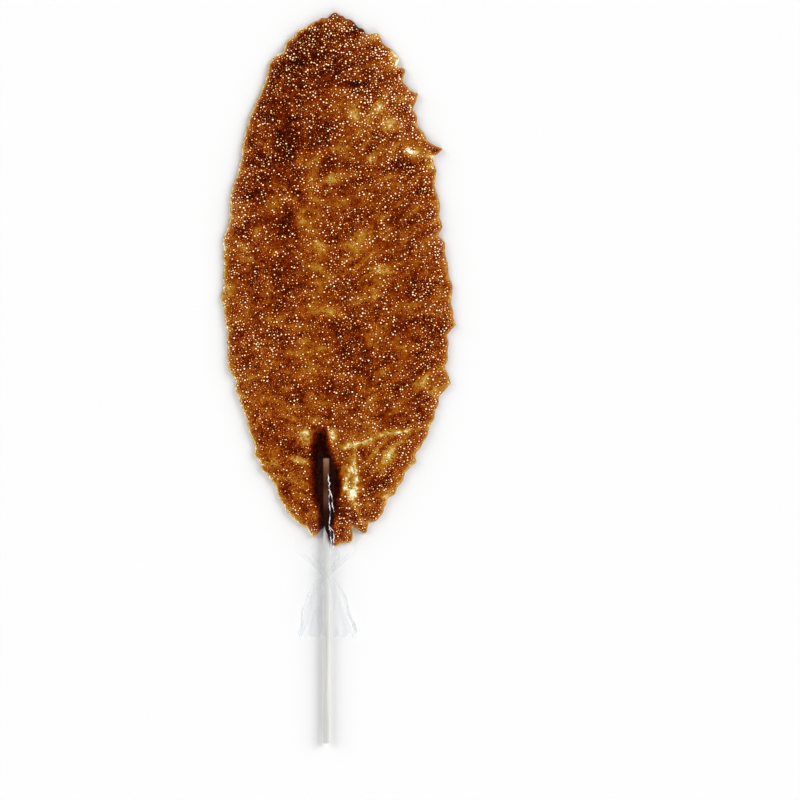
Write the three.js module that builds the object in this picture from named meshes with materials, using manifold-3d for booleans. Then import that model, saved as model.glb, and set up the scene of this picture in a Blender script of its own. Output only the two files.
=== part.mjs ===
// A giant flat lollipop: a leaf-shaped sheet of amber hard candy, poured on a slab, with a stick set
// into a mound at its lower end and clear film gathered round the stick below it.
//
// Millimetres. The lollipop lies on the candy's flat back, shown face up: +X is to the right across the
// blade, +Y runs from the stick towards the blade's tip and +Z is up. While the pieces are made, y = 0 is
// the blade's widest line and x = 0 its middle. At the end the whole is moved so that the origin is at the
// bottom centre of its box.
import * as THREE from "three";
import { mergeVertices } from "three/addons/utils/BufferGeometryUtils.js";
import Module from "manifold-3d";

const wasm = await Module();
wasm.setup();

const { clamp, lerp, smoothstep } = THREE.MathUtils;

// Driving dimensions of the blade
const bladeHalfWidth = 65; // at the widest line
const tipReach = 159.5; // from the widest line up to the tip
const baseReach = 134; // from the widest line down to the stick's end
const leafAcross = 1.85; // exponents of the leaf's superellipse: 2 is an ellipse, less is more pointed
const leafAlong = 1.9;

// Thickness of the poured sheet
const sheetThickness = 4.4;
const thinnestSheet = 1.9;
const rimThickness = 1.5; // of the edge, which the syrup leaves thin and rounded
const rimInset = 0.55; // how far the edge's rounding goes in, on the back and on the face
const rimSlope = 10; // the width over which the edge grows to the sheet's thickness
const streaks = { along: 26, across: 12, height: 1.0 }; // the pour's ripples, drawn out sideways
const fineStreaks = { along: 13, across: 7, height: 0.6 };
const streakRise = 0.42; // slope of the streaks, which climb to both sides of the middle like leaf veins
const streakBend = 9; // half width of the middle, over which they turn from one slope to the other

// The stick and the mound of candy that holds it
const stickDiameter = 3.5;
const stickLength = 160;
const stickX = -4.8;
const stickTop = -89; // the end that is set into the candy
const stickHeight = 2.75; // of its axis above the slab
const stickChamfer = 0.3;
const mound = {
  crest: 7.6, // height beside the stick's end
  exitCrest: 6.4, // height where the stick comes out
  halfWidth: 7.2,
  above: 34, // length past the stick's end
  taper: 0.8, // share of its width that it loses over that length
  lip: 2.5, // rounding at the rim
  fillet: 1.2, // rounding into the sheet
};
const socketGap = 0.3;

// The clear film: a cone from the candy's lower edge to a neck on the stick, then a fluted tail
const film = {
  thickness: 0.25,
  top: -139.2, // just clear of the candy's lowest lobe
  neck: -156,
  end: -192,
  topHalfWidth: 19,
  topCrest: 2.6, // heights of the film's upper side above the stick's axis
  neckRadius: 2.5,
  endHalfWidth: 19.5,
  endCrest: 7.5,
  floorGap: 0.2,
  flutes: 9,
  fluteDepth: 0.13, // as a share of the film's radius at the tail's end
  fluteTwist: 3, // how far the flutes turn round the stick by then, in radians of their own wave
};

// How finely the pieces are divided
const rimSteps = 300;
const ringShares = [0.985, 0.95, 0.9, 0.83, 0.75, 0.66, 0.57, 0.48, 0.39, 0.3, 0.21, 0.12, 0.045];
const spineShare = 0.74; // the blade's rings close in on a spine of this share of its length
const toothShares = [0.7, 0.98]; // from the first to the second share of the way out, rings take on the teeth
const toothPoint = 1.2; // above 1, teeth come to a hollow-sided point
const leafSamples = 3000;
const stickSides = 28;
const filmSteps = 72;
const filmStations = 11;
const weldDistance = 1e-3;

// Where the rim departs broadly from the plain leaf: a place on it, how far it reaches out and how broadly
const rimBulges = [
  { at: [-21, 151], reach: 1.5, breadth: 28 },
  { at: [-36, 140], reach: 2.2, breadth: 36 },
  { at: [-50, 92], reach: 1.4, breadth: 44 },
  { at: [-56, 72], reach: -2.4, breadth: 110 },
  { at: [-58.5, 60], reach: 1.3, breadth: 44 },
  { at: [-65, 0], reach: -2.3, breadth: 90 },
  { at: [-62, -18], reach: -0.9, breadth: 24 },
  { at: [-61, -36], reach: 1.3, breadth: 22 },
  { at: [-54, -66], reach: -4.6, breadth: 130 },
  { at: [36, 138], reach: 2.8, breadth: 40 },
  { at: [60, 44], reach: -2.4, breadth: 70 },
  { at: [65, -8], reach: 1.2, breadth: 60 },
  { at: [42, -100], reach: -1.8, breadth: 60 },
];

// Teeth (reach above 0) and notches (below 0) of the ragged rim: a place on the leaf, how far they reach out,
// how broad they are at the root, and how far the point leans along the rim (up, on the right side)
const rimTeeth = [
  { at: [1, 160], reach: 1.8, breadth: 11, lean: 0 }, // beak at the tip
  { at: [12, 154.5], reach: -1.4, breadth: 14, lean: 0 },
  { at: [18, 151], reach: -2.2, breadth: 8, lean: 0 },
  { at: [24, 148], reach: 2.6, breadth: 9, lean: 1 },
  { at: [35, 136], reach: 1.4, breadth: 7, lean: -0.5 },
  { at: [35, 132], reach: -1.8, breadth: 6, lean: 0 },
  { at: [38, 128.5], reach: 1.6, breadth: 6, lean: 0 },
  { at: [40, 123], reach: -1.8, breadth: 8, lean: 0 },
  { at: [45.5, 115], reach: 4.8, breadth: 11, lean: 0.2 },
  { at: [47, 108], reach: -2.2, breadth: 9, lean: 0 },
  { at: [46.5, 99], reach: -2.8, breadth: 19, lean: 0 },
  { at: [54, 85], reach: 6.4, breadth: 11, lean: -2 }, // the longest spike
  { at: [55, 80], reach: -0.9, breadth: 7, lean: 0 },
  { at: [57, 72.5], reach: 0.9, breadth: 9, lean: 0 },
  { at: [56, 64.5], reach: -1.7, breadth: 12, lean: 0 },
  { at: [61, 43], reach: 0.6, breadth: 16, lean: 0 },
  { at: [62, 36.5], reach: -3.2, breadth: 9, lean: 0 },
  { at: [64, 12], reach: -1.2, breadth: 12, lean: 0 },
  { at: [65, -13], reach: 2.2, breadth: 7, lean: -0.6 },
  { at: [64.5, -20], reach: -2, breadth: 10, lean: 0 },
  { at: [62, -46.5], reach: 5.4, breadth: 19, lean: 0 }, // broad ear
  { at: [56, -66], reach: 0.9, breadth: 12, lean: 0 },
  { at: [45, -91], reach: 1.2, breadth: 8, lean: 0 },
  { at: [39.5, -97], reach: -0.9, breadth: 8, lean: 0 },
  { at: [31, -111], reach: -1.6, breadth: 24, lean: 0 },
  { at: [25, -124], reach: 1, breadth: 12, lean: 0 },
  { at: [17, -130.5], reach: 2.8, breadth: 8, lean: 0 },
  { at: [12.5, -131.5], reach: -3.4, breadth: 6, lean: 0 },
  { at: [8, -133], reach: 3.4, breadth: 6, lean: 0 }, // lobe beside the stick, cut off nearly straight
  { at: [4.5, -133.5], reach: 3, breadth: 14, lean: 0 },
  { at: [0, -134], reach: 3.6, breadth: 9, lean: 0 },
  { at: [-7.5, -133.5], reach: -5.2, breadth: 8, lean: 0 }, // notch where the stick comes out
  { at: [-12, -132], reach: 2.8, breadth: 7, lean: 0 },
  { at: [-35, -106], reach: -2.4, breadth: 30, lean: 0 },
  { at: [-45, -88.5], reach: 1.9, breadth: 12, lean: -0.8 },
  { at: [-51, -69.5], reach: 1.2, breadth: 9, lean: 0 },
  { at: [-56, -52.5], reach: 1.2, breadth: 9, lean: 0 },
  { at: [-65, 0], reach: 1.5, breadth: 9, lean: 0 },
  { at: [-64.5, 24.5], reach: 0.8, breadth: 6, lean: 0 },
  { at: [-61, 47], reach: -1.2, breadth: 20, lean: 0 },
  { at: [-53.5, 77.5], reach: -1.2, breadth: 14, lean: 0 },
  { at: [-45.5, 109.5], reach: 1.1, breadth: 8, lean: 0 },
  { at: [-36.5, 132.5], reach: 2.2, breadth: 9, lean: 0 }, // shoulder
  { at: [-30.5, 140], reach: -2.4, breadth: 9, lean: 0 },
];
const rimWaves = [
  { count: 37, height: 0.3, start: 1.3 },
  { count: 61, height: 0.25, start: 0.4 },
  { count: 89, height: 0.2, start: 2.2 },
];

// Broad swells (height above 0) and hollows (below 0) of the hand-poured face
const faceSwells = [
  { at: [-20, 129], radius: 21, height: 0.8 },
  { at: [-25, 94], radius: 9, height: 1.2 },
  { at: [-29, 49], radius: 10, height: 1.2 },
  { at: [-41, 14], radius: 12, height: 0.7 },
  { at: [-20, 18], radius: 10, height: 0.7 },
  { at: [50, 48], radius: 8, height: 0.9 },
  { at: [46, -7], radius: 10, height: 0.9 },
  { at: [34, -28], radius: 11, height: 0.6 },
  { at: [25, 106], radius: 12, height: -1.2 },
  { at: [43, 83], radius: 7, height: -1.2 },
  { at: [-15, 40], radius: 8, height: -1.0 },
  { at: [22, 34], radius: 9, height: -1.0 },
  { at: [5, 0], radius: 9, height: -0.8 },
  { at: [-19, -76], radius: 6, height: -1.4 },
  { at: [10, -98], radius: 7, height: -1.7 },
  { at: [27, -84], radius: 6, height: -1.2 },
];

// Helpers

function signedPower(value, exponent) {
  return Math.sign(value) * Math.abs(value) ** exponent;
}

// A bell that is 1 at distance 0 and falls smoothly to 0 at distance 1. A form of a given radius fills it out
// to this many radii, where it has died away.
const bellSpread = 1.6;
function bell(distance) {
  const inside = clamp(1 - distance * distance, 0, 1);
  return inside * inside;
}

function scattered(i, j) {
  const value = Math.sin(i * 127.1 + j * 311.7) * 43758.5453;
  return value - Math.floor(value);
}

// Smooth random hills between -1 and 1 over a grid of unit squares
function hills(u, v) {
  const i = Math.floor(u);
  const j = Math.floor(v);
  const su = smoothstep(u - i, 0, 1);
  const sv = smoothstep(v - j, 0, 1);
  const low = lerp(scattered(i, j), scattered(i + 1, j), su);
  const high = lerp(scattered(i, j + 1), scattered(i + 1, j + 1), su);
  return 2 * lerp(low, high, sv) - 1;
}

// The outline of the blade

// The plain leaf, run through once from the tip down its left side and up its right side
class Leaf extends THREE.Curve {
  arcLengthDivisions = leafSamples;

  getPoint(share) {
    const angle = 2 * Math.PI * share;
    const reach = Math.cos(angle) > 0 ? tipReach : baseReach;
    const x = -bladeHalfWidth * signedPower(Math.sin(angle), 2 / leafAcross);
    const y = reach * signedPower(Math.cos(angle), 2 / leafAlong);
    return new THREE.Vector2(x, y);
  }
}

const leaf = new Leaf();

// Pairs each bulge or tooth with the point of the plain leaf that is nearest to its place
function rooted(forms) {
  const points = leaf.getPoints(leafSamples);
  return forms.map((form) => {
    const place = new THREE.Vector2(...form.at);
    const root = points.reduce((best, p) => (p.distanceTo(place) < best.distanceTo(place) ? p : best));
    return { ...form, root };
  });
}

const bulges = rooted(rimBulges);
const teeth = rooted(rimTeeth);

// The point of the ragged rim that belongs to a share of the way round the plain leaf
function rimPoint(share) {
  const plain = leaf.getPoint(share);
  const step = 1 / leafSamples;
  const along = leaf.getPoint(share + step).sub(leaf.getPoint(share - step)).normalize();
  const outward = new THREE.Vector2(along.y, -along.x);
  let reach = 0;
  let lean = 0;
  for (const wave of rimWaves) reach += wave.height * Math.sin(2 * Math.PI * wave.count * share + wave.start);
  for (const bulge of bulges) reach += bulge.reach * bell(plain.distanceTo(bulge.root) / (bulge.breadth / 2));
  for (const tooth of teeth) {
    const nearness = clamp(1 - plain.distanceTo(tooth.root) / (tooth.breadth / 2), 0, 1);
    reach += tooth.reach * nearness ** toothPoint;
    lean += tooth.lean * nearness;
  }
  return plain.addScaledVector(outward, reach).addScaledVector(along, lean);
}

// The face of the candy

function streakHeight(x, y, { along, across, height }) {
  const climb = streakRise * Math.hypot(x, streakBend);
  return height * hills(x / along, (y - climb) / across);
}

function sheetHeight(x, y) {
  let height = sheetThickness + streakHeight(x, y, streaks) + streakHeight(x, y, fineStreaks);
  for (const { at, radius, height: rise } of faceSwells)
    height += rise * bell(Math.hypot(x - at[0], y - at[1]) / (bellSpread * radius));
  return Math.max(height, thinnestSheet);
}

// The mound over the stick is broadest beside the stick's end and dies out above it.
function moundHeight(x, y) {
  const above = smoothstep(y, stickTop - mound.halfWidth, stickTop + mound.above);
  const width = mound.halfWidth * (1 - mound.taper * above);
  const crest = lerp(mound.exitCrest, mound.crest, smoothstep(y, -baseReach, stickTop)) * (1 - above);
  return crest * bell((x - stickX) / (bellSpread * width));
}

// Height of the face where the rim is the given distance away
function faceHeight(x, y, fromRim) {
  const sheet = lerp(rimThickness, sheetHeight(x, y), Math.sqrt(smoothstep(fromRim, -1, rimSlope)));
  const held = moundHeight(x, y) * smoothstep(fromRim, -mound.lip, mound.lip);
  return (sheet + held + Math.hypot(sheet - held, mound.fillet)) / 2;
}

// Solids

// A closed skin through rings of equally many points. Lids are triangles that close its first and last ring;
// without any, the skin runs from its last ring back into its first.
function skinThrough(rings, lids) {
  const count = rings[0].length;
  const corners = lids.flat();
  const joins = lids.length > 0 ? rings.length - 1 : rings.length;
  for (let r = 0; r < joins; r++) {
    const low = r * count;
    const high = ((r + 1) % rings.length) * count;
    for (let i = 0; i < count; i++) {
      const next = (i + 1) % count;
      corners.push(low + i, low + next, high + next, low + i, high + next, high + i);
    }
  }
  const places = rings.flat().flatMap((p) => p.toArray());
  const geometry = new THREE.BufferGeometry();
  geometry.setAttribute("position", new THREE.Float32BufferAttribute(places, 3));
  geometry.setIndex(corners);
  return geometry;
}

// A flat lid on a skin's first ring, facing down
function underside(ring) {
  const outline = ring.map((p) => new THREE.Vector2(p.x, p.y));
  return THREE.ShapeUtils.triangulateShape(outline, []).map(([a, b, c]) => [c, b, a]);
}

// A lid from side to side of a slender ring, facing up. The ring starts at its tip, and its halves are alike.
function zipped(first, count) {
  const lid = [];
  for (let i = 0; i < count / 2; i++) {
    const left = first + i;
    const right = first + ((count - i) % count);
    const nextRight = first + count - i - 1;
    if (left !== right) lid.push([right, left, left + 1]);
    if (left + 1 !== nextRight) lid.push([right, left + 1, nextRight]);
  }
  return lid;
}

function solidFrom(geometry) {
  const bare = geometry.clone();
  bare.deleteAttribute("normal");
  bare.deleteAttribute("uv");
  const welded = mergeVertices(bare, weldDistance);
  const vertProperties = new Float32Array(welded.attributes.position.array);
  const triVerts = new Uint32Array(welded.index.array);
  return new wasm.Manifold(new wasm.Mesh({ numProp: 3, vertProperties, triVerts }));
}

function geometryFrom(solid) {
  const { vertProperties, triVerts } = solid.getMesh();
  const geometry = new THREE.BufferGeometry();
  geometry.setAttribute("position", new THREE.BufferAttribute(vertProperties, 3));
  geometry.setIndex(new THREE.BufferAttribute(triVerts, 1));
  geometry.computeVertexNormals();
  return geometry;
}

// A rod along Y with chamfered ends, from a low to a high end
function rodGeometry(radius, low, high, chamfer) {
  const profile = [
    [0, low],
    [radius - chamfer, low],
    [radius, low + chamfer],
    [radius, high - chamfer],
    [radius - chamfer, high],
    [0, high],
  ];
  const points = profile.map(([r, y]) => new THREE.Vector2(r, y));
  return new THREE.LatheGeometry(points, stickSides).translate(stickX, 0, stickHeight);
}

// Pieces

// Rings from the rim in to a spine along the blade's middle. Near the rim they follow its teeth.
function candySheet() {
  const places = [];
  for (let i = 0; i < rimSteps; i++) {
    const share = leaf.getUtoTmapping(i / rimSteps);
    const plain = leaf.getPoint(share);
    places.push({ plain, edge: rimPoint(share), spine: new THREE.Vector2(0, spineShare * plain.y) });
  }
  const ring = (share, heightAt) =>
    places.map(({ plain, edge, spine }) => {
      const outer = plain.clone().lerp(edge, smoothstep(share, ...toothShares));
      const p = spine.clone().lerp(outer, share);
      return new THREE.Vector3(p.x, p.y, heightAt(p, p.distanceTo(edge)));
    });
  const inset = 1 - rimInset / bladeHalfWidth;
  const rings = [
    ring(inset, () => 0),
    ring(1, () => rimThickness / 2),
    ring(inset, () => rimThickness),
    ...ringShares.map((share) => ring(share, (p, fromRim) => faceHeight(p.x, p.y, fromRim))),
  ];
  const lastRing = (rings.length - 1) * rimSteps;
  return skinThrough(rings, [...underside(rings[0]), ...zipped(lastRing, rimSteps)]);
}

function candy() {
  const radius = stickDiameter / 2 + socketGap;
  const socket = rodGeometry(radius, film.neck, stickTop + socketGap, stickChamfer);
  return geometryFrom(solidFrom(candySheet()).subtract(solidFrom(socket)));
}

function stick() {
  return rodGeometry(stickDiameter / 2, stickTop - stickLength, stickTop, stickChamfer);
}

// One ring of the film round the stick. Its underside is flattened on the slab, its upper side is fluted.
function filmRing(y, inwards) {
  const below = smoothstep(y, film.neck, film.end); // 0 at the neck, 1 at the tail's end
  const toTop = smoothstep(y, film.neck, film.top);
  const flare = Math.sqrt(clamp((film.neck - y) / (film.neck - film.end), 0, 1));
  const cone = toTop * (film.topHalfWidth - film.neckRadius);
  const halfWidth = film.neckRadius + cone + flare * (film.endHalfWidth - film.neckRadius) - inwards;
  const crestRise = toTop * (film.topCrest - film.neckRadius) + flare * (film.endCrest - film.neckRadius);
  const crest = film.neckRadius + crestRise - inwards;
  const sag = stickHeight - film.floorGap - inwards;
  const points = [];
  for (let i = 0; i < filmSteps; i++) {
    const turn = (-2 * Math.PI * i) / filmSteps;
    const up = Math.sin(turn);
    const flute = 1 + film.fluteDepth * flare * (Math.sin(film.flutes * turn + film.fluteTwist * below) - 1);
    const z = up > 0 ? crest * up * flute : sag * up;
    points.push(new THREE.Vector3(stickX + halfWidth * Math.cos(turn) * flute, y, stickHeight + z));
  }
  return points;
}

function filmWrap() {
  const outside = [];
  const inside = [];
  for (let i = 0; i < filmStations; i++) {
    const y = lerp(film.end, film.top, i / (filmStations - 1));
    outside.push(filmRing(y, 0));
    inside.unshift(filmRing(y, film.thickness));
  }
  return skinThrough([...outside, ...inside], []);
}

// The lollipop

function piece(name, geometry, look) {
  const mesh = new THREE.Mesh(geometry, new THREE.MeshStandardMaterial({ metalness: 0, ...look }));
  mesh.name = name;
  return mesh;
}

const lollipop = new THREE.Group();
lollipop.add(
  piece("candy", candy(), { color: "#84400c", roughness: 0.25 }),
  piece("stick", stick(), { color: "#ece9e2", roughness: 0.5 }),
  piece("film", filmWrap(), { color: "#ffffff", roughness: 0.1, transparent: true, opacity: 0.2 }),
);
const box = new THREE.Box3().setFromObject(lollipop);
const middle = box.getCenter(new THREE.Vector3());
lollipop.position.set(-middle.x, -middle.y, -box.min.z);

export default lollipop;
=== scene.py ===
import math

import bpy
import numpy as np
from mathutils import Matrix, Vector
from mathutils.bvhtree import BVHTree


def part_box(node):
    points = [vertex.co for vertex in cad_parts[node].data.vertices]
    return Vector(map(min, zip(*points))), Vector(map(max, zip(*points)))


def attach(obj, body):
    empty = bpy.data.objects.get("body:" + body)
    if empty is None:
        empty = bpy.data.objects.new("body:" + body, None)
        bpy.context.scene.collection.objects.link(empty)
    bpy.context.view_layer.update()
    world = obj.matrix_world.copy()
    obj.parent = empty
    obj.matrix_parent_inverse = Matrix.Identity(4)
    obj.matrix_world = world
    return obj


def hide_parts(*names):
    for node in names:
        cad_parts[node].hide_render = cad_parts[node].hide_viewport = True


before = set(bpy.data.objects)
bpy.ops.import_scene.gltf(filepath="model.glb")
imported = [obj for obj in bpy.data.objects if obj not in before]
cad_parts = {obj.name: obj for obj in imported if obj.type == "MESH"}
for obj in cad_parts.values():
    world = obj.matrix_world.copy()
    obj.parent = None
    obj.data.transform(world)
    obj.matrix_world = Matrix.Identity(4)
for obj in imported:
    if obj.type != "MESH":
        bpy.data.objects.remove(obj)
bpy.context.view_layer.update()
print("frame loaded:", ", ".join(sorted(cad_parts)))

mm = 0.001  # shapes are worked out in millimetres, on the blade's own middle and widest line

# Places taken from the frame
stickLow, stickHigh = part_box("stick")
stickRadius = (stickHigh.x - stickLow.x) / 2 / mm
stickLength = (stickHigh.y - stickLow.y) / mm
stickAxisHeight = (stickHigh.z + stickLow.z) / 2 / mm
stickX = -4.8  # from the blade's middle
stickTop = -89.0  # from the blade's widest line
bladeOrigin = np.array([(stickHigh.x + stickLow.x) / 2 - stickX * mm, stickHigh.y - stickTop * mm, 0.0])


# Number and curve helpers

def smoothStep(values, low, high):
    t = np.clip((values - low) / (high - low), 0, 1)
    return t * t * (3 - 2 * t)


def bell(distance):
    inside = np.clip(1 - distance * distance, 0, 1)
    return inside * inside


def signedPower(values, exponent):
    return np.sign(values) * np.abs(values) ** exponent


def scattered(i, j):
    value = np.sin(i * 127.1 + j * 311.7) * 43758.5453
    return value - np.floor(value)


# Smooth random hills from -1 to 1 on a grid of unit squares, as the solid candy has them
def hills(u, v):
    i, j = np.floor(u), np.floor(v)
    su, sv = smoothStep(u - i, 0, 1), smoothStep(v - j, 0, 1)
    low = scattered(i, j) * (1 - su) + scattered(i + 1, j) * su
    high = scattered(i, j + 1) * (1 - su) + scattered(i + 1, j + 1) * su
    return 2 * (low * (1 - sv) + high * sv) - 1


# Random swirls from about -1 to 1, rounder than the hills. A shift of u or v gives another pattern.
def swirls(u, v):
    i, j = np.floor(u), np.floor(v)
    du, dv = u - i, v - j
    su, sv = smoothStep(du, 0, 1), smoothStep(dv, 0, 1)

    def corner(a, b):
        turn = 2 * np.pi * scattered(i + a + 17, j + b + 5)
        return np.cos(turn) * (du - a) + np.sin(turn) * (dv - b)

    low = corner(0, 0) * (1 - su) + corner(1, 0) * su
    high = corner(0, 1) * (1 - su) + corner(1, 1) * su
    return 1.5 * (low * (1 - sv) + high * sv)


# Mesh helpers

def toFrame(points):
    return np.asarray(points) * mm + bladeOrigin


def newPiece(name, points, faces, material, body="root"):
    mesh = bpy.data.meshes.new(name)
    mesh.from_pydata(toFrame(points).tolist(), [], faces)
    mesh.polygons.foreach_set("use_smooth", [True] * len(mesh.polygons))
    mesh.update()
    piece = bpy.data.objects.new(name, mesh)
    bpy.context.scene.collection.objects.link(piece)
    mesh.materials.append(material)
    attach(piece, body)
    return piece


def addAttribute(piece, name, values):
    attribute = piece.data.attributes.new(name, "FLOAT", "POINT")
    attribute.data.foreach_set("value", np.asarray(values, np.float32))


# Quads between rings of equally many points, numbered one ring after another
def ringFaces(ringCount, pointCount, closed=True):
    i = np.arange(pointCount if closed else pointCount - 1)
    nextI = (i + 1) % pointCount
    faces = []
    for ring in range(ringCount - 1):
        low, high = ring * pointCount, (ring + 1) * pointCount
        faces += np.stack([low + i, low + nextI, high + nextI, high + i], 1).tolist()
    return faces


# A lid from side to side of a slender ring that starts at its tip and has like halves
def zippedLid(first, count, facingUp):
    lid = []
    for i in range(count // 2):
        left, right, nextRight = first + i, first + (count - i) % count, first + count - i - 1
        face = [right, left, left + 1, nextRight]
        face = list(dict.fromkeys(face))
        lid.append(face if facingUp else face[::-1])
    return lid


# Low domes: a top and rings of points round it, one dome after another
def domes(tops, rings):
    points = np.concatenate([tops[:, None, :], *rings], 1)
    count, size = points.shape[:2]
    sides = rings[0].shape[1]
    faces = []
    for first in range(0, count * size, size):
        for i in range(sides):
            a, b = first + 1 + i, first + 1 + (i + 1) % sides
            faces.append((first, a, b))
            for step in range(0, size - 1 - sides, sides):
                faces.append((a + step, a + step + sides, b + step + sides, b + step))
    return points.reshape(-1, 3), faces


# Even steps along a route: their distances from its start, and their places
def alongRoute(route, step):
    route = np.array(route)
    reached = np.concatenate([[0], np.cumsum(np.hypot(*np.diff(route, axis=0).T))])
    at = np.linspace(0, reached[-1], int(reached[-1] / step))
    return at, np.column_stack([np.interp(at, reached, route[:, 0]), np.interp(at, reached, route[:, 1])])


# Several meshes as one: their points, their faces and the values of their points
def joined(parts):
    points, partFaces, *values = zip(*parts)
    faces = []
    start = 0
    for some, theirFaces in zip(points, partFaces):
        faces += [[corner + start for corner in face] for face in theirFaces]
        start += len(some)
    return np.concatenate(points), faces, *[np.concatenate(kind) for kind in values]


# Shader helpers

noiseMiddle = 0.5  # the mean of a noise texture


def srgb(r, g, b):
    channels = [c / 255 for c in (r, g, b)]
    return tuple(c / 12.92 if c <= 0.04045 else ((c + 0.055) / 1.055) ** 2.4 for c in channels) + (1.0,)


def addNode(tree, kind, inputs=None, **settings):
    node = tree.nodes.new(kind)
    for name, value in settings.items():
        setattr(node, name, value)
    for name, value in (inputs or {}).items():
        if isinstance(value, bpy.types.NodeSocket):
            tree.links.new(value, node.inputs[name])
        else:
            node.inputs[name].default_value = value
    return node


def addMath(tree, operation, first, second=0.0, clamp=False):
    node = addNode(tree, "ShaderNodeMath", {0: first, 1: second}, operation=operation, use_clamp=clamp)
    return node.outputs[0]


# The node's sockets for colours are its seventh and eighth
def addMix(tree, factor, first, second):
    return addNode(tree, "ShaderNodeMix", {0: factor, 6: first, 7: second}, data_type="RGBA").outputs[2]


def addRange(tree, value, start, end, low=0.0, high=1.0):
    inputs = {"Value": value, "From Min": start, "From Max": end, "To Min": low, "To Max": high}
    return addNode(tree, "ShaderNodeMapRange", inputs).outputs["Result"]


def addNoise(tree, place, scale, detail, roughness=0.5):
    inputs = {"Vector": place, "Scale": scale, "Detail": detail, "Roughness": roughness}
    return addNode(tree, "ShaderNodeTexNoise", inputs).outputs["Fac"]


def objectPlace(tree):
    return addNode(tree, "ShaderNodeTexCoord").outputs["Object"]


def pointValue(tree, name):
    return addNode(tree, "ShaderNodeAttribute", attribute_name=name).outputs["Fac"]


def addRamp(tree, value, stops):
    node = addNode(tree, "ShaderNodeValToRGB", {"Fac": value})
    elements = node.color_ramp.elements
    while len(elements) < len(stops):
        elements.new(1.0)
    for element, (position, colour) in zip(elements, stops):
        element.position = position
        element.color = colour
    return node.outputs["Color"]


# A surface with the fine unevenness that all of them share
def addSurface(tree, grainGroup, look, colour, coat=0.0):
    rough = {"Roughness": look["roughness"]}
    finish = addNode(tree, "ShaderNodeGroup", rough, node_tree=grainGroup).outputs
    shader = addNode(tree, "ShaderNodeBsdfPrincipled", {
        "Base Color": colour,
        "Roughness": finish["Roughness"],
        "Specular IOR Level": look["specular"],
        "Coat Weight": coat,
        "Coat Roughness": look.get("coatRoughness", 0.0),
    })
    if "bump" in look:
        strength, distance = look["bump"]
        inputs = {"Height": finish["Height"], "Strength": strength, "Distance": distance}
        normal = addNode(tree, "ShaderNodeBump", inputs).outputs["Normal"]
        tree.links.new(normal, shader.inputs["Normal"])
    return shader.outputs[0]


def newMaterial(name):
    material = bpy.data.materials.new(name)
    material.use_nodes = True
    material.node_tree.nodes.clear()
    return material, material.node_tree


def newGroup(name, inputs, outputs):
    group = bpy.data.node_groups.new(name, "ShaderNodeTree")
    for socketName, value in inputs:
        socket = group.interface.new_socket(socketName, in_out="INPUT", socket_type="NodeSocketFloat")
        socket.default_value = value
    for socketName in outputs:
        kind = "NodeSocketColor" if socketName == "Color" else "NodeSocketFloat"
        group.interface.new_socket(socketName, in_out="OUTPUT", socket_type=kind)
    return group, addNode(group, "NodeGroupInput"), addNode(group, "NodeGroupOutput")


# Camera and light

studio = {
    "photoPixels": 800,
    "millimetresPerPixel": 0.5625,
    "bladeMiddlePixel": 335,  # across the photo
    "widestLinePixel": 300,  # down the photo
    "cameraHeight": 1.6,
    "cameraReach": 20.0,
    "floorSize": 6.0,
    "floorColour": (0.8, 0.8, 0.8, 1.0),
    "floorRoughness": 0.9,
    "floorSpecular": 0.1,
    "floorDrop": 0.05,  # millimetres under the candy's back
    "lamps": [  # direction and strength of the soft lights round the table
        ((-1.2, 0.5, 0.75), 1.70),
        ((1.2, 0.6, 0.8), 2.48),
        ((0.2, -1.4, 0.75), 1.49),
    ],
    "lampBreadth": 40.0,  # in degrees
    "skyLow": 1.3,  # brightness of the room near the floor and overhead
    "skyHigh": 0.03,
    "skyBand": (0.35, 0.75),  # heights between which it falls from the one to the other
}


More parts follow.
